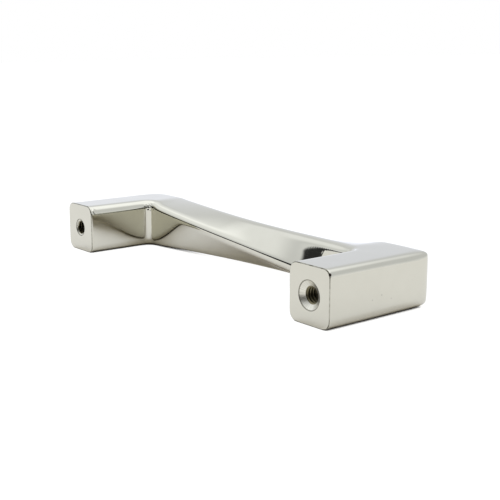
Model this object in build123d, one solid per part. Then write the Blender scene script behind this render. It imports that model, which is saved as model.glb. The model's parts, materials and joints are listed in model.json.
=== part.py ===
from build123d import *
from math import radians, tan
import os

# Cabinet pull: one metal casting, polished all over.
# The mounting plane is y = 0 and the pull stands out towards -Y. X runs along the bar and Z is up.
# The origin lies on the mounting plane, half way between the two screw holes.

# Overall sizes, in millimetres
hole_spacing = 96.0
projection = 31.0
post_width = 12.4
bar_depth = 12.4
section_height = 13.0

# Roundings of the long edges, which polishing has left crisper in some places than in others,
# and of the corner where a post meets the bar
soft_edge_radius = 2.7
crisp_edge_radius = 1.6
inner_corner_radius = 1.8

# The sharp rims of the mount faces are only broken
mount_rim_break = 0.2

# Screw holes, tapped for a No. 8 machine screw with 32 threads to the inch and left plain here
tap_drill = 3.45
hole_depth = 14.0
drill_point_angle = 118.0
left_countersink = 6.5
right_countersink = 4.6

# The bar is straight for a moment at each end, and then twists. The twist is drawn in steps
straight_end = 0.2
twist_steps = 20

# Places that follow from the sizes
post_x = hole_spacing / 2
inner_side_x = post_x - post_width / 2
outer_side_x = post_x + post_width / 2
bar_back_y = bar_depth - projection
bar_middle_y = bar_back_y - bar_depth / 2
twist_end_x = inner_side_x - inner_corner_radius - straight_end

# The four edges at each end of the bar, in the order lower back, upper back, upper front and lower
# front. The left end's front edges are crisp, and so is the right end's lower back edge
left_edge_radii = [soft_edge_radius, soft_edge_radius, crisp_edge_radius, crisp_edge_radius]
right_edge_radii = [crisp_edge_radius, soft_edge_radius, soft_edge_radius, soft_edge_radius]


def long_edges(bracket, is_top, is_front):
    """The sharp edges that run along a bracket at its top or bottom, on its front or back side."""
    level = section_height / 2 if is_top else -section_height / 2
    return [
        edge
        for edge in bracket.edges()
        if abs(edge.center().Z - level) < 0.001
        and (edge.center().X > post_x or edge.center().Y < bar_middle_y) == is_front
        and edge.center().Y < -0.001
        and edge.center().X > twist_end_x + 0.001
    ]


def end_bracket(edge_radii):
    """The right-hand post with its corner of the bar: an L in plan, rounded along its edges."""
    lower_back, upper_back, upper_front, lower_front = edge_radii
    outline = Polyline(
        (outer_side_x, 0),
        (outer_side_x, -projection),
        (twist_end_x, -projection),
        (twist_end_x, bar_back_y),
        (inner_side_x, bar_back_y),
        (inner_side_x, 0),
        close=True,
    )
    plan = make_face(outline)
    inner_corner = plan.vertices().sort_by_distance((inner_side_x, bar_back_y))[0]
    plan = fillet(inner_corner, inner_corner_radius)
    front_corner = plan.vertices().sort_by_distance((outer_side_x, -projection))[0]
    plan = fillet(front_corner, soft_edge_radius)

    bracket = extrude(plan, section_height / 2, both=True)
    bracket = fillet(long_edges(bracket, False, False), lower_back)
    bracket = fillet(long_edges(bracket, True, False), upper_back)
    bracket = fillet(long_edges(bracket, True, True), upper_front)
    bracket = fillet(long_edges(bracket, False, True), lower_front)

    mount_face = bracket.faces().sort_by(Axis.Y)[-1]
    return chamfer(mount_face.edges(), mount_rim_break)


def bar_section(step):
    """The bar's section at one step of the twist. Each corner of the left end runs in a straight
    line to the place of the next corner at the right end, so the bar is narrowest half way."""
    share = step / twist_steps
    half_depth = bar_depth / 2
    half_height = section_height / 2
    starts = [
        (half_depth, -half_height),
        (half_depth, half_height),
        (-half_depth, half_height),
        (-half_depth, -half_height),
    ]
    finishes = starts[1:] + starts[:1]
    corners = [
        (bar_middle_y + y1 + (y2 - y1) * share, z1 + (z2 - z1) * share)
        for (y1, z1), (y2, z2) in zip(starts, finishes)
    ]
    finish_radii = right_edge_radii[1:] + right_edge_radii[:1]
    section = make_face(Polyline(*corners, close=True))
    for corner, start_radius, finish_radius in zip(corners, left_edge_radii, finish_radii):
        sharp_corner = section.vertices().sort_by_distance(corner)[0]
        section = fillet(sharp_corner, start_radius + (finish_radius - start_radius) * share)

    x = twist_end_x * (2 * share - 1)
    return Plane(origin=(x, 0, 0), x_dir=(0, 1, 0), z_dir=(1, 0, 0)) * section


def twisted_bar():
    """The bar between the two brackets, given a quarter turn about its length. Straight strips
    join each section to the next, and they're short enough to follow the roundings closely."""
    return loft([bar_section(step) for step in range(twist_steps + 1)], ruled=True)


def screw_hole(x, countersink):
    """A blind hole into the mounting plane, with its countersink and the cone of the drill point."""
    slope = tan(radians(drill_point_angle / 2))
    mouth_radius = countersink / 2
    bore_radius = tap_drill / 2
    profile = Polyline(
        (x, 0),
        (x + mouth_radius, 0),
        (x + bore_radius, (bore_radius - mouth_radius) / slope),
        (x + bore_radius, -hole_depth),
        (x, -hole_depth - bore_radius / slope),
        close=True,
    )
    return revolve(make_face(profile), Axis((x, 0, 0), (0, 1, 0)))


def cabinet_pull():
    """Both brackets and the bar as one body, with the two screw holes cut into it."""
    left_bracket = mirror(end_bracket(left_edge_radii), Plane.YZ)
    body = left_bracket + twisted_bar() + end_bracket(right_edge_radii)
    return body - screw_hole(-post_x, left_countersink) - screw_hole(post_x, right_countersink)


os.makedirs("parts", exist_ok=True)
export_step(cabinet_pull(), "parts/pull.step")
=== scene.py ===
import json
from math import atan2, cos, hypot, pi, radians, sin, tan

import bpy
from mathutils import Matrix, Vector

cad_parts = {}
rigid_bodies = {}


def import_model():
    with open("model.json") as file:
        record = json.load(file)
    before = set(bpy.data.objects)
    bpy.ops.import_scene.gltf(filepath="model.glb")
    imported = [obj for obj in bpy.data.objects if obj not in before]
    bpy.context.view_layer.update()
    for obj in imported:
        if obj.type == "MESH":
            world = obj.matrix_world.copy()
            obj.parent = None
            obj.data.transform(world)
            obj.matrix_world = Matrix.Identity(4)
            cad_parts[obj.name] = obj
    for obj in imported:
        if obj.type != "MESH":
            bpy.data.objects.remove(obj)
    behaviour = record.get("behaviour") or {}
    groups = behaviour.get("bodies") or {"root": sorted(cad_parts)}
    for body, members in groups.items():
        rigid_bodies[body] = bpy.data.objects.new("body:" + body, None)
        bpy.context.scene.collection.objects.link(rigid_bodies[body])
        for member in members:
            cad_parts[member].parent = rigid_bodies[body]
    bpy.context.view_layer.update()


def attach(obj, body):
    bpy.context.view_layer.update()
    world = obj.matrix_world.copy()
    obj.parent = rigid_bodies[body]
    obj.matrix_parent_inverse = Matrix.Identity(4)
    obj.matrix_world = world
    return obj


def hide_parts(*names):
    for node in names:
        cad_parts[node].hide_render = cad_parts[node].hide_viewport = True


for leftover in list(bpy.data.objects):
    bpy.data.objects.remove(leftover)

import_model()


# Casting
# One zinc casting: two square posts and the bar between them, which makes a quarter turn. It is
# ground, polished to a mirror all over and plated with nickel, so every edge is softly rounded.
# It is drawn in millimetres as a bent tube of four faces, and brought to metres once it's drilled.
MM = 0.001
HOLE_SPACING = 96.0
PROJECTION = 31.0
POST_WIDTH = 12.4
BAR_DEPTH = 12.4
SECTION_HEIGHT = 13.0
INNER_CORNER = 2.0
INNER_GRIND = 0.45
RIM_BREAK = 0.2

# Roundings of the long edges, as they're bevelled. The finished surface is about a tenth rounder
FOOT_ROUNDING = 3.3
SOFT_ROUNDING = 2.6
UPRIGHT_ROUNDING = 2.28
EVEN_ROUNDING = 1.8
CRISP_ROUNDING = 1.35

# Where they change, measured from the mounting plane, and from an end of the pull towards its middle
MOUNT_LENGTH = 2.0
LOWER_CRISP_LENGTH = 17.0
UPPER_CRISP_LENGTH = 26.0
RIGHT_EVEN_LENGTH = 27.0
END_LENGTH = 7.0

# How the tube is drawn: its steps, how much too long it starts, and how far from its ends, corners
# and edges it is held straight
TURN_STEPS = 4
TWIST_STEPS = 19
TWIST_LEAD = 2.0
OVERLENGTH = 2.0
MOUNT_SUPPORT = 3.0
CORNER_SUPPORT = 3.0
EDGE_SUPPORT = 0.8
SMOOTHING_LEVELS = 3
DRAW_IN = (0.9999, 0.9999, 0.9996)
HAIR = 0.01

post_x = HOLE_SPACING / 2
inner_x = post_x - POST_WIDTH / 2
outer_x = post_x + POST_WIDTH / 2
bar_back_y = BAR_DEPTH - PROJECTION
bar_middle_y = bar_back_y - BAR_DEPTH / 2
turn_x = inner_x - INNER_CORNER
turn_y = bar_back_y + INNER_CORNER
bottom = -SECTION_HEIGHT / 2


def pick_faces(piece, wanted):
    """In edit mode, leaves only those faces selected whose centre and normal pass the test."""
    bpy.ops.mesh.select_all(action="DESELECT")
    bpy.ops.mesh.select_mode(type="FACE")
    bpy.ops.object.mode_set(mode="OBJECT")
    for face in piece.data.polygons:
        face.select = wanted(face.center, face.normal)
    bpy.ops.object.mode_set(mode="EDIT")


def pick_points(piece, wanted):
    """In edit mode, leaves only those points selected whose place passes the test."""
    bpy.ops.mesh.select_all(action="DESELECT")
    bpy.ops.mesh.select_mode(type="VERT")
    bpy.ops.object.mode_set(mode="OBJECT")
    for point in piece.data.vertices:
        point.select = wanted(point.co)
    bpy.ops.object.mode_set(mode="EDIT")


def draw_out(x, y):
    """Draws the selected end of a tube out by that much."""
    bpy.ops.mesh.extrude_region_move(TRANSFORM_OT_translate={"value": (x, y, 0)})


# The left post, from beyond its end to where the corner begins
bpy.ops.object.select_all(action="DESELECT")
bpy.ops.mesh.primitive_plane_add(
    size=1, location=(-post_x, OVERLENGTH, 0), rotation=(pi / 2, 0, 0)
)
casting = bpy.context.object
casting.name = "casting"
casting.data.name = "casting"
casting.scale = (POST_WIDTH, SECTION_HEIGHT, 1)
bpy.ops.object.transform_apply(location=True, rotation=True, scale=True)
bpy.ops.object.mode_set(mode="EDIT")
bpy.ops.mesh.select_all(action="SELECT")
draw_out(0, -OVERLENGTH - MOUNT_SUPPORT)
draw_out(0, turn_y + CORNER_SUPPORT + MOUNT_SUPPORT)
draw_out(0, -CORNER_SUPPORT)

# The left corner, then the bar, turned and drawn in at each step so that its edges run straight
bpy.ops.mesh.spin(steps=TURN_STEPS, angle=pi / 2, center=(-turn_x, turn_y, 0), axis=(0, 0, -1))
x_before, angle_before, size_before = -turn_x, 0.0, 1.0
first_x = -turn_x + TWIST_LEAD
squareness = SECTION_HEIGHT / BAR_DEPTH
for step in range(TWIST_STEPS + 2):
    x = min(first_x - 2 * first_x * step / TWIST_STEPS, turn_x)
    share = (x + inner_x) / (2 * inner_x) if x < turn_x else 1.0
    angle = atan2(share, 1 - share)
    size = hypot(share, 1 - share)
    middle = (x, bar_middle_y, 0)
    draw_out(x - x_before, 0)
    bpy.ops.transform.resize(value=(1, squareness, 1), center_override=middle)
    bpy.ops.transform.rotate(value=angle_before - angle, orient_axis="X", center_override=middle)
    growth = size / size_before
    bpy.ops.transform.resize(value=(1, growth, growth), center_override=middle)
    bpy.ops.transform.resize(value=(1, 1 / squareness, 1), center_override=middle)
    x_before, angle_before, size_before = x, angle, size

# The right corner and the right post
bpy.ops.mesh.spin(steps=TURN_STEPS, angle=pi / 2, center=(turn_x, turn_y, 0), axis=(0, 0, -1))
draw_out(0, CORNER_SUPPORT)
draw_out(0, -turn_y - CORNER_SUPPORT - MOUNT_SUPPORT)
draw_out(0, MOUNT_SUPPORT + OVERLENGTH)
pick_faces(casting, lambda centre, normal: centre.y > OVERLENGTH - HAIR)
bpy.ops.mesh.delete(type="ONLY_FACE")

# The outside of each corner is pushed out from the round of the spin to a square corner
for side in (-1, 1):
    for step in range(1, TURN_STEPS):
        angle = step * pi / 2 / TURN_STEPS
        reach = POST_WIDTH + INNER_CORNER
        spot_x = side * (turn_x + reach * cos(angle))
        spot_y = turn_y - reach * sin(angle)
        pick_points(casting, lambda place: hypot(place.x - spot_x, place.y - spot_y) < HAIR)
        stretch = 1 / max(cos(angle), sin(angle))
        bpy.ops.transform.resize(
            value=(stretch, stretch, 1), center_override=(side * turn_x, turn_y, 0)
        )

# The right inner corner is ground a little deeper into the bar
pick_points(casting, lambda place: (
    abs(hypot(place.x - turn_x, place.y - turn_y) - INNER_CORNER) < HAIR
    and place.y < turn_y - HAIR
))
bpy.ops.transform.translate(value=(0, -INNER_GRIND, 0))


def change_rounding(change, wanted):
    """Rounds those edges by so much more or less whose middle passes the test."""
    bpy.ops.mesh.select_all(action="DESELECT")
    bpy.ops.mesh.select_mode(type="EDGE")
    bpy.ops.object.mode_set(mode="OBJECT")
    places = casting.data.vertices
    for edge in casting.data.edges:
        first, second = edge.vertices
        edge.select = wanted((places[first].co + places[second].co) / 2)
    bpy.ops.object.mode_set(mode="EDIT")
    bpy.ops.transform.edge_bevelweight(value=change / FOOT_ROUNDING)


# All square edges start with the soft rounding
bpy.ops.mesh.select_all(action="SELECT")
bpy.ops.mesh.normals_make_consistent(inside=False)
bpy.ops.mesh.select_all(action="DESELECT")
bpy.ops.mesh.select_mode(type="EDGE")
bpy.ops.mesh.edges_select_sharp(sharpness=radians(50))
bpy.ops.transform.edge_bevelweight(value=SOFT_ROUNDING / FOOT_ROUNDING)

# The edges of the bar, the inner edges of both posts and the outer ones of the right post are
# rounded less, and the upright edges at the front a little less
change_rounding(EVEN_ROUNDING - SOFT_ROUNDING, lambda middle: (
    abs(middle.x) < outer_x - END_LENGTH and middle.y < -MOUNT_LENGTH
))
change_rounding(EVEN_ROUNDING - SOFT_ROUNDING, lambda middle: (
    middle.x > outer_x - END_LENGTH and -RIGHT_EVEN_LENGTH < middle.y < -MOUNT_LENGTH
))
change_rounding(UPRIGHT_ROUNDING - SOFT_ROUNDING, lambda middle: (
    abs(middle.x) > outer_x - HAIR and middle.y < HAIR - PROJECTION and abs(middle.z) < HAIR
))

# The outer edges of the left post are crisp, and the end of the lower inner edge of the right one
change_rounding(CRISP_ROUNDING - SOFT_ROUNDING, lambda middle: (
    middle.x < HAIR - outer_x
    and middle.y > (-LOWER_CRISP_LENGTH if middle.z < 0 else -UPPER_CRISP_LENGTH)
))
change_rounding(CRISP_ROUNDING - SOFT_ROUNDING, lambda middle: (
    abs(middle.x - inner_x) < HAIR and middle.y > -MOUNT_LENGTH and abs(middle.z - bottom) < HAIR
))

# The lower front corner of the left end is the roundest
change_rounding(FOOT_ROUNDING - SOFT_ROUNDING, lambda middle: (
    abs(middle.z - bottom) < HAIR
    and (middle.x < HAIR - outer_x or middle.y < HAIR - PROJECTION)
    and middle.x < END_LENGTH - outer_x and middle.y < -LOWER_CRISP_LENGTH
))
bpy.ops.object.mode_set(mode="OBJECT")

# Two empty material slots tell the faces of the roundings from the flats between them
casting.data.materials.append(None)
casting.data.materials.append(None)
edges = casting.modifiers.new("edges", "BEVEL")
edges.limit_method = "WEIGHT"
edges.width = FOOT_ROUNDING
edges.segments = 3
edges.use_clamp_overlap = False
edges.material = 1
bpy.ops.object.modifier_apply(modifier="edges")

# The flats are held flat by an inset, and all of it is made smooth. That leaves it a hair too
# large, so it is drawn in
bpy.ops.object.mode_set(mode="EDIT")
bpy.ops.mesh.select_all(action="DESELECT")
bpy.ops.mesh.select_mode(type="FACE")
casting.active_material_index = 1
bpy.ops.object.material_slot_select()
bpy.ops.mesh.select_all(action="INVERT")
bpy.ops.mesh.inset(thickness=EDGE_SUPPORT, depth=0, use_boundary=False, use_even_offset=True)
bpy.ops.object.mode_set(mode="OBJECT")
rounding = casting.modifiers.new("rounding", "SUBSURF")
rounding.levels = SMOOTHING_LEVELS
rounding.render_levels = SMOOTHING_LEVELS
bpy.ops.object.modifier_apply(modifier="rounding")
bpy.ops.object.mode_set(mode="EDIT")
bpy.ops.mesh.select_all(action="SELECT")
bpy.ops.transform.resize(value=DRAW_IN, center_override=(0, 0, 0))


def pick_mount_rims():
    """In edit mode, leaves only the outlines of the flat mount faces selected."""
    pick_faces(casting, lambda centre, normal: centre.y > -HAIR and normal.y > 0.99)
    bpy.ops.mesh.region_to_loop()


# Both posts are cut off flat at the mounting plane, and their sharp rims broken
bpy.ops.mesh.select_all(action="SELECT")
bpy.ops.mesh.bisect(plane_co=(0, 0, 0), plane_no=(0, 1, 0), use_fill=True, clear_outer=True)
pick_mount_rims()
bpy.ops.mesh.bevel(
    offset_type="OFFSET", offset=RIM_BREAK, segments=3, profile=0.5, affect="EDGES",
    clamp_overlap=False,
)
bpy.ops.object.mode_set(mode="OBJECT")


# Screw holes
# Each post is drilled from behind, countersunk and tapped for a No. 8 machine screw with 32
# threads to the inch. The left countersink is wider, and the plating has softened the rims.
LEFT_COUNTERSINK = 6.5
RIGHT_COUNTERSINK = 4.6
TAP_DRILL = 3.45
HOLE_DEPTH = 14.0
DRILL_POINT_ANGLE = radians(118.0)
DRILL_TIP = 0.01
HOLE_RIM_BREAK = 0.08
HOLE_SIDES = 96
THREAD_OUTSIDE = 4.17
THREAD_PITCH = 0.794
THREAD_FLANK = radians(30)
THREAD_ROOT = 0.10
THREAD_OVERLAP = 0.15
THREAD_START = 0.25
THREAD_TURNS = 15
THREAD_STEPS = 50
SEAM_GAP = 0.0002

drill_slope = tan(DRILL_POINT_ANGLE / 2)
bore_radius = TAP_DRILL / 2
thread_radius = THREAD_OUTSIDE / 2


def cut_away(cutter):
    """Takes the cutter's shape out of the casting, removes the cutter and closes the seam."""
    bpy.context.view_layer.objects.active = casting
    cut = casting.modifiers.new("cut", "BOOLEAN")
    cut.operation = "DIFFERENCE"
    cut.solver = "EXACT"
    cut.object = cutter
    bpy.ops.object.modifier_apply(modifier="cut")
    bpy.data.objects.remove(cutter)
    bpy.ops.object.mode_set(mode="EDIT")
    bpy.ops.mesh.select_all(action="SELECT")
    bpy.ops.mesh.remove_doubles(threshold=SEAM_GAP)
    bpy.ops.object.mode_set(mode="OBJECT")


def drill(hole_x, countersink):
    """Cuts a countersunk blind hole into the end of a post."""
    mouth_radius = countersink / 2
    countersink_y = -(mouth_radius - bore_radius) / drill_slope
    radius_before, y_before = mouth_radius + 2 * HOLE_RIM_BREAK, HOLE_RIM_BREAK
    bpy.ops.object.select_all(action="DESELECT")
    bpy.ops.mesh.primitive_circle_add(
        vertices=HOLE_SIDES, radius=radius_before, fill_type="NGON",
        location=(hole_x, y_before, 0), rotation=(pi / 2, 0, 0),
    )
    bit = bpy.context.object
    bpy.ops.object.transform_apply(location=True, rotation=True, scale=True)
    bpy.ops.object.mode_set(mode="EDIT")
    bpy.ops.mesh.select_all(action="SELECT")
    for radius, y in (
        (mouth_radius, -HOLE_RIM_BREAK),
        (bore_radius, countersink_y),
        (bore_radius, -HOLE_DEPTH),
        (DRILL_TIP, -HOLE_DEPTH - bore_radius / drill_slope),
    ):
        narrower = radius / radius_before
        draw_out(0, y - y_before)
        bpy.ops.transform.resize(value=(narrower, 1, narrower), center_override=(hole_x, y, 0))
        radius_before, y_before = radius, y
    bpy.ops.mesh.merge(type="CENTER")
    bpy.ops.mesh.select_all(action="SELECT")
    bpy.ops.mesh.normals_make_consistent(inside=False)
    bpy.ops.object.mode_set(mode="OBJECT")
    cut_away(bit)


def tap(hole_x):
    """Cuts the thread's groove into the wall of a hole, all the way down it."""
    inside = bore_radius - THREAD_OVERLAP
    height = thread_radius - inside
    width = THREAD_ROOT + 2 * height * tan(THREAD_FLANK)
    bpy.ops.object.select_all(action="DESELECT")
    bpy.ops.mesh.primitive_plane_add(size=1, location=((thread_radius + inside) / 2, 0, 0))
    groove = bpy.context.object
    groove.scale = (height, width, 1)
    bpy.ops.object.transform_apply(location=True, rotation=True, scale=True)
    bpy.ops.object.mode_set(mode="EDIT")
    pick_points(groove, lambda place: place.x > thread_radius - HAIR)
    bpy.ops.transform.resize(
        value=(1, THREAD_ROOT / width, 1), center_override=(thread_radius, 0, 0)
    )
    bpy.ops.object.mode_set(mode="OBJECT")
    turns = groove.modifiers.new("turns", "SCREW")
    turns.axis = "Y"
    turns.screw_offset = -THREAD_PITCH
    turns.angle = -2 * pi
    turns.iterations = THREAD_TURNS
    turns.steps = THREAD_STEPS
    turns.render_steps = THREAD_STEPS
    bpy.ops.object.modifier_apply(modifier="turns")
    groove.location = (hole_x, -THREAD_START, 0)
    bpy.ops.object.transform_apply(location=True, rotation=True, scale=True)
    bpy.ops.object.mode_set(mode="EDIT")
    bpy.ops.mesh.select_all(action="SELECT")
    bpy.ops.mesh.remove_doubles(threshold=SEAM_GAP)
    bpy.ops.mesh.fill_holes(sides=0)
    bpy.ops.mesh.select_all(action="SELECT")
    bpy.ops.mesh.normals_make_consistent(inside=False)
    bpy.ops.object.mode_set(mode="OBJECT")
    cut_away(groove)


drill(-post_x, LEFT_COUNTERSINK)
drill(post_x, RIGHT_COUNTERSINK)
tap(-post_x)
tap(post_x)

# The flat ends keep a crisp edge in the shading, and the casting is brought to metres
bpy.ops.object.select_all(action="DESELECT")
casting.select_set(True)
bpy.context.view_layer.objects.active = casting
bpy.ops.object.mode_set(mode="EDIT")
pick_mount_rims()
bpy.ops.mesh.mark_sharp()
bpy.ops.object.mode_set(mode="OBJECT")
casting.scale = (MM, MM, MM)
bpy.ops.object.transform_apply(location=True, rotation=True, scale=True)
bpy.ops.object.shade_smooth_by_angle(angle=radians(35), keep_sharp_edges=True)


# Nickel plate
# The whole casting is plated with nickel: a warm white mirror, faintly wavy and with a little haze
# left by the polishing. The holes and the rims of the mount faces, which the buffing wheel doesn't
# reach, are duller. Their rims carry painted dark lines and a painted dark spot for dark reflections
# and shade, and the thread deep in the holes is painted dark as shade.
WARM_NICKEL = (0.49, 0.475, 0.385, 1)
PALE_NICKEL = (0.515, 0.50, 0.41, 1)
PAINTED_DARK_LINE = (0.09, 0.085, 0.055, 1)
TURNED_NICKEL = (0.70, 0.68, 0.57, 1)
TURNING_MARK = (0.25, 0.23, 0.16, 1)
PAINTED_THREAD_SHADE = (0.17, 0.15, 0.085, 1)
PAINTED_REFLECTION_BLACK = (0.02, 0.015, 0.01, 1)
SPECK_GREY = (0.2, 0.19, 0.16, 1)

# How far round a hole's axis the hole and its thread reach, and how far down, in millimetres
HOLE_REACH = 3.4
HOLE_END = 16.5
THREAD_REACH = 1.93
THREAD_TOP = 0.8
MOUTH_LINE = 0.11
MOUTH_DEPTH = 0.5

nickel = bpy.data.materials.new("polished_nickel")
nickel.use_nodes = True
nodes, links = nickel.node_tree.nodes, nickel.node_tree.links
shader = nodes["Principled BSDF"]
shader.inputs["Metallic"].default_value = 1.0


def reckon(operation, first, second=None):
    """Adds a Math node to the material or world at hand that joins two sockets or numbers."""
    node = nodes.new("ShaderNodeMath")
    node.operation = operation
    for socket, value in zip(node.inputs, (first, second)):
        if isinstance(value, (int, float)):
            socket.default_value = value
        elif value is not None:
            links.new(value, socket)
    return node.outputs[0]


def ease(value, start, end, low=0.0, high=1.0):
    """Goes smoothly from low to high while the value goes from start to end."""
    node = nodes.new("ShaderNodeMapRange")
    node.interpolation_type = "SMOOTHSTEP"
    for name, number in (("From Min", start), ("From Max", end), ("To Min", low), ("To Max", high)):
        if isinstance(number, (int, float)):
            node.inputs[name].default_value = number
        else:
            links.new(number, node.inputs[name])
    links.new(value, node.inputs["Value"])
    return node.outputs["Result"]


def grain(scale, detail):
    """Adds a noise of that many cells to the metre, laid through the metal."""
    node = nodes.new("ShaderNodeTexNoise")
    node.inputs["Scale"].default_value = scale
    node.inputs["Detail"].default_value = detail
    links.new(place, node.inputs["Vector"])
    return node.outputs["Fac"]


def near(x, y, z, radius):
    """Goes from 1 at a place given in millimetres to 0 at that radius round it."""
    node = nodes.new("ShaderNodeVectorMath")
    node.operation = "DISTANCE"
    node.inputs[1].default_value = (x * MM, y * MM, z * MM)
    links.new(place, node.inputs[0])
    return ease(node.outputs["Value"], 0.0, radius * MM, 1.0, 0.0)


def tint(below, amount, colour):
    """Lays a colour by that amount over another one, which is given or comes from a socket."""
    node = nodes.new("ShaderNodeMix")
    node.data_type = "RGBA"
    if isinstance(below, tuple):
        node.inputs["A"].default_value = below
    else:
        links.new(below, node.inputs["A"])
    node.inputs["B"].default_value = colour
    links.new(amount, node.inputs["Factor"])
    return node.outputs["Result"]


def roughen(height, distance, strength, below=None):
    """Adds a relief of that height to the surface, over the one below it."""
    node = nodes.new("ShaderNodeBump")
    node.inputs["Distance"].default_value = distance * MM
    if isinstance(strength, float):
        node.inputs["Strength"].default_value = strength
    else:
        links.new(strength, node.inputs["Strength"])
    links.new(height, node.inputs["Height"])
    if below:
        links.new(below, node.inputs["Normal"])
    return node.outputs[0]


place = nodes.new("ShaderNodeTexCoord").outputs["Object"]
parts = nodes.new("ShaderNodeSeparateXYZ")
links.new(place, parts.inputs[0])
across, depth, up = parts.outputs

# The turned walls of the holes and the thread in them. The thread and the bore below it get painted
# shade, a dark colour for the shadow deep in the hole
beside = reckon("SUBTRACT", reckon("ABSOLUTE", across), post_x * MM)
from_axis = reckon("ADD", reckon("MULTIPLY", beside, beside), reckon("MULTIPLY", up, up))
from_axis = reckon("SQRT", from_axis)
sunk = reckon("LESS_THAN", depth, -HAIR * MM)
in_hole = reckon("MULTIPLY", reckon("LESS_THAN", from_axis, HOLE_REACH * MM), sunk)
in_hole = reckon("MULTIPLY", in_hole, reckon("GREATER_THAN", depth, -HOLE_END * MM))
in_thread = reckon(
    "MAXIMUM",
    reckon("LESS_THAN", from_axis, THREAD_REACH * MM),
    reckon("LESS_THAN", depth, -THREAD_TOP * MM),
)
in_thread = reckon("MULTIPLY", in_hole, in_thread)

# The marks that the cutter left on the countersinks, all pointing to the axis
marks = nodes.new("ShaderNodeTexNoise")
marks.noise_dimensions = "1D"
marks.inputs["Scale"].default_value = 12.0
marks.inputs["Detail"].default_value = 2.0
links.new(reckon("ARCTAN2", up, beside), marks.inputs["W"])
turned = ease(marks.outputs["Fac"], 0.35, 0.65)

# A dark line painted round each hole's mouth: a painted dark reflection of the rounded rim
mouth = ease(across, -MM, MM, LEFT_COUNTERSINK / 2 * MM, RIGHT_COUNTERSINK / 2 * MM)
off_mouth = reckon("ABSOLUTE", reckon("SUBTRACT", from_axis, mouth))
painted_mouth_line = reckon("LESS_THAN", off_mouth, MOUTH_LINE * MM)
painted_mouth_line = reckon("MULTIPLY", painted_mouth_line, reckon("GREATER_THAN", depth, -MOUTH_DEPTH * MM))

# The broken rims of the mount faces, painted dark as painted shade and dark reflection, darkest
# towards their corners
in_rim = reckon("MULTIPLY", sunk, reckon("GREATER_THAN", depth, -RIM_BREAK * MM))
in_rim = reckon("MULTIPLY", in_rim, reckon("GREATER_THAN", from_axis, HOLE_REACH * MM))
in_rim = reckon("MULTIPLY", in_rim, ease(grain(900.0, 2.0), 0.35, 0.65, 0.55, 1.0))
painted_rim_shade = reckon(
    "MULTIPLY", in_rim, ease(reckon("ABSOLUTE", up), 3.5 * MM, 5.5 * MM, 0.55, 1.0)
)

# A dark spot painted at the upper outer corner of the left rim, a painted dark reflection, and three
# specks on the left post's outer side
painted_corner_reflection = near(-54.1, -0.2, 5.5, 0.5)
specks = reckon("MAXIMUM", near(-outer_x, -15.1, -1.1, 0.3), near(-outer_x, -12.3, -1.8, 0.25))
specks = reckon("MAXIMUM", specks, near(-outer_x, -18.0, -2.3, 0.22))

colour = tint(WARM_NICKEL, grain(260.0, 3.0), PALE_NICKEL)
# Painted shade: the rims of the mount faces are painted dark for the shade and dark reflections
# along them
colour = tint(colour, painted_rim_shade, PAINTED_DARK_LINE)
colour = tint(colour, reckon("MULTIPLY", in_hole, 0.7), TURNED_NICKEL)
colour = tint(colour, reckon("MULTIPLY", in_hole, reckon("MULTIPLY", turned, 0.3)), TURNING_MARK)
# Painted reflection: a dark line round each hole's mouth
colour = tint(colour, reckon("MULTIPLY", painted_mouth_line, 0.75), PAINTED_DARK_LINE)
# Painted shade: the thread and the deep bore are painted dark
colour = tint(colour, in_thread, PAINTED_THREAD_SHADE)
# Painted reflection: a near-black spot at the left rim's upper outer corner
colour = tint(colour, ease(painted_corner_reflection, 0.0, 0.4), PAINTED_REFLECTION_BLACK)
colour = tint(colour, reckon("MULTIPLY", specks, 0.5), SPECK_GREY)
links.new(colour, shader.inputs["Base Color"])

roughness = ease(grain(700.0, 4.0), 0.3, 0.7, 0.03, 0.06)
roughness = reckon("ADD", roughness, reckon("MULTIPLY", in_rim, 0.25))
roughness = reckon("ADD", roughness, reckon("MULTIPLY", in_hole, 0.28))
links.new(roughness, shader.inputs["Roughness"])

# The metal is faintly wavy all over and rippled in two places on the right post. Fine slanting
# grooves are left on the bar beside the left post
wavy = roughen(grain(110.0, 1.0), 0.06, 1.0)
ripples = reckon("MAXIMUM", near(42.4, -0.9, 5.2, 1.5), near(41.3, -18.5, 4.9, 1.9))
rippled = roughen(grain(1400.0, 1.0), 0.4, ripples, wavy)
slant = reckon("ADD", across, reckon("MULTIPLY", up, 0.6))
grooves = reckon("SINE", reckon("MULTIPLY", slant, 8000.0))
grooved = roughen(grooves, 0.0022, near(-31.0, -18.6, 4.5, 9.0), rippled)
links.new(grooved, shader.inputs["Normal"])

casting.data.materials.clear()
casting.data.materials.append(nickel)

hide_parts("pull")
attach(casting, "root")


# Floor
# The white sweep that the pull lies on, overexposed as in the photograph. It ends a little way
# behind the camera. It isn't part of the object.
FLOOR_END_Y = 0.14
FLOOR_SIZE = 4.0
WIDE_REACH = 0.012
TOUCHING_REACH = 0.001
WHITE_PAPER = (0.9, 0.9, 0.9, 1)
SHADED_PAPER = (0.62, 0.56, 0.42, 1)
TOUCHED_PAPER = (0.09, 0.07, 0.04, 1)
PAPER_GLOW = (0.71, 0.74, 0.94, 1)
OVEREXPOSURE = 1.15

bpy.ops.mesh.primitive_plane_add(
    size=FLOOR_SIZE, location=(0, FLOOR_END_Y - FLOOR_SIZE / 2, bottom * MM)
)
floor = bpy.context.object
floor.name = "floor"
bpy.ops.object.transform_apply(location=True, rotation=True, scale=True)
sweep = bpy.data.materials.new("white_sweep")
sweep.use_nodes = True
nodes, links = sweep.node_tree.nodes, sweep.node_tree.links
paper = nodes["Principled BSDF"]
paper.inputs["Roughness"].default_value = 0.9
paper.inputs["Specular IOR Level"].default_value = 0.0
ray = nodes.new("ShaderNodeLightPath")


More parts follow.
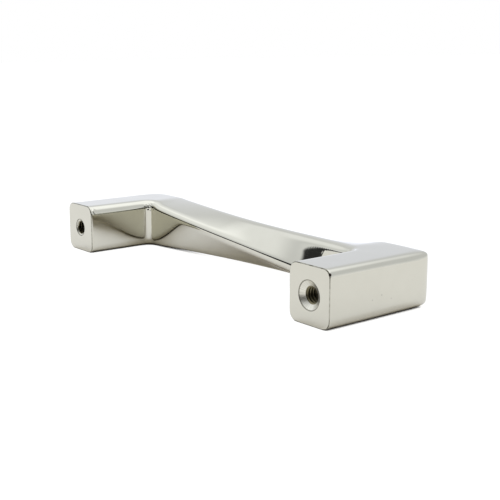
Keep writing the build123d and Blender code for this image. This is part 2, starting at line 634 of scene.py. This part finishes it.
def open_within(reach):
    """Goes from 0 where the pull covers the floor to 1 where nothing stands within that reach."""
    node = nodes.new("ShaderNodeAmbientOcclusion")
    node.samples = 8
    node.inputs["Distance"].default_value = reach
    return node.outputs["AO"]


# The pull shades the paper round it, and nearly blackens it where the two touch
wide = open_within(WIDE_REACH)
close = open_within(TOUCHING_REACH)
colour = tint(WHITE_PAPER, ease(wide, 0.25, 0.85, 1.0, 0.0), SHADED_PAPER)
colour = tint(colour, ease(close, 0.05, 0.45, 1.0, 0.0), TOUCHED_PAPER)
links.new(colour, paper.inputs["Base Color"])

# Seen in the metal it glows a little, but for where the pull shades it
in_metal = reckon("MAXIMUM", ray.outputs["Is Glossy Ray"], ray.outputs["Is Transmission Ray"])
glow = nodes.new("ShaderNodeEmission")
glow.inputs["Color"].default_value = PAPER_GLOW
links.new(reckon("MULTIPLY", in_metal, ease(wide, 0.15, 0.7, 0.0, 0.57)), glow.inputs["Strength"])
glowing = nodes.new("ShaderNodeAddShader")
links.new(paper.outputs[0], glowing.inputs[0])
links.new(glow.outputs[0], glowing.inputs[1])

# Seen by the camera it is overexposed, so that only a trace of the shadow is left
white = nodes.new("ShaderNodeEmission")
white.inputs["Strength"].default_value = OVEREXPOSURE
overexposed = nodes.new("ShaderNodeMixShader")
links.new(ease(close, 0.1, 0.38, 0.0, 0.85), overexposed.inputs["Fac"])
links.new(paper.outputs[0], overexposed.inputs[1])
links.new(white.outputs[0], overexposed.inputs[2])
look = nodes.new("ShaderNodeMixShader")
links.new(ray.outputs["Is Camera Ray"], look.inputs["Fac"])
links.new(glowing.outputs[0], look.inputs[1])
links.new(overexposed.outputs[0], look.inputs[2])
links.new(look.outputs[0], nodes["Material Output"].inputs["Surface"])
floor.data.materials.append(sweep)


# Light
# A white room with a large soft light overhead. What the metal mirrors is white all round, but
# for the unlit part of the room behind the camera, low over the edge of the sweep.
GAP_DIRECTION = radians(120)
SIDE_BOX_DIRECTION = (0.73, 0.372, 0.574)
ROOM_COLOUR = (1.04, 1.075, 1.20, 1)
UNLIT_BRIGHTNESS = 0.04

world = bpy.data.worlds.new("studio")
bpy.context.scene.world = world
world.use_nodes = True
nodes, links = world.node_tree.nodes, world.node_tree.links
plain = nodes["Background"]
plain.inputs["Color"].default_value = (1, 1, 1, 1)
plain.inputs["Strength"].default_value = 1.0

direction = nodes.new("ShaderNodeTexCoord").outputs["Generated"]
parts = nodes.new("ShaderNodeSeparateXYZ")
links.new(direction, parts.inputs[0])
east, north, height = parts.outputs

# The unlit gap: how far a direction turns towards it, how high it reaches there and how soft its
# upper edge is
level = reckon("ADD", reckon("MULTIPLY", east, east), reckon("MULTIPLY", north, north))
level = reckon("MAXIMUM", reckon("SQRT", level), 0.001)
towards = reckon(
    "ADD",
    reckon("MULTIPLY", east, cos(GAP_DIRECTION)),
    reckon("MULTIPLY", north, sin(GAP_DIRECTION)),
)
towards = reckon("DIVIDE", towards, level)
gap_top = reckon("ADD", ease(towards, 0.0, 0.08, 0.03, 0.12), ease(towards, 0.1, 0.8, 0.0, 0.33))
gap_edge = ease(towards, 0.05, 0.5, 0.015, 0.07)
below_gap_top = ease(
    height, reckon("SUBTRACT", gap_top, gap_edge), reckon("ADD", gap_top, gap_edge), 1.0, 0.0
)
gap = reckon("MULTIPLY", ease(towards, -0.13, -0.10), below_gap_top)

# The lit room: its walls, paler at the horizon, the light overhead and a weaker one to the side
horizon = ease(height, 0.0, 0.22, 0.2, 0.0)
overhead = ease(height, 0.56, 0.86, 0.0, 0.75)
side_box = nodes.new("ShaderNodeVectorMath")
side_box.operation = "DOT_PRODUCT"
side_box.inputs[1].default_value = SIDE_BOX_DIRECTION
links.new(direction, side_box.inputs[0])
side_light = ease(side_box.outputs["Value"], 0.90, 0.98, 0.0, 0.35)
walls = ease(north, -0.72, -0.5, 0.94, 1.0)
room = reckon("ADD", reckon("ADD", reckon("ADD", horizon, overhead), side_light), walls)
brightness = reckon("MULTIPLY", room, reckon("SUBTRACT", 1.0, gap))
brightness = reckon("MAXIMUM", brightness, UNLIT_BRIGHTNESS)

# The metal mirrors that room, the camera sees plain white, and all else is lit by plain white
mirrored = nodes.new("ShaderNodeBackground")
mirrored.inputs["Color"].default_value = ROOM_COLOUR
links.new(brightness, mirrored.inputs["Strength"])
backdrop = nodes.new("ShaderNodeBackground")
backdrop.inputs["Color"].default_value = (1, 1, 1, 1)
backdrop.inputs["Strength"].default_value = 1.0
path = nodes.new("ShaderNodeLightPath")
when_mirrored = nodes.new("ShaderNodeMixShader")
links.new(
    reckon("MAXIMUM", path.outputs["Is Glossy Ray"], path.outputs["Is Transmission Ray"]),
    when_mirrored.inputs["Fac"],
)
links.new(plain.outputs[0], when_mirrored.inputs[1])
links.new(mirrored.outputs[0], when_mirrored.inputs[2])
when_seen = nodes.new("ShaderNodeMixShader")
links.new(path.outputs["Is Camera Ray"], when_seen.inputs["Fac"])
links.new(when_mirrored.outputs[0], when_seen.inputs[1])
links.new(backdrop.outputs[0], when_seen.inputs[2])
links.new(when_seen.outputs[0], nodes["World Output"].inputs["Surface"])


# Camera
# Close to the back of the left post and a little above the pull, as the photograph was taken.
CAMERA_TURN = radians(231.458)
CAMERA_RISE = radians(12.133)
CAMERA_DISTANCE = 0.217453
CAMERA_TARGET = Vector((-0.028445, 0, 0.006317))
CAMERA_LENS = 71.052

back = Vector((
    sin(CAMERA_TURN) * cos(CAMERA_RISE), -cos(CAMERA_TURN) * cos(CAMERA_RISE), sin(CAMERA_RISE)
))
camera_data = bpy.data.cameras.new("camera")
camera_data.sensor_width = 36.0
camera_data.lens = CAMERA_LENS
camera_data.clip_start = 0.01
camera_data.clip_end = 20.0
camera = bpy.data.objects.new("camera", camera_data)
bpy.context.scene.collection.objects.link(camera)
camera.location = CAMERA_TARGET + back * CAMERA_DISTANCE
camera.rotation_mode = "QUATERNION"
camera.rotation_quaternion = (-back).to_track_quat("-Z", "Y")
bpy.context.scene.camera = camera
bpy.context.scene.view_settings.view_transform = "Standard"
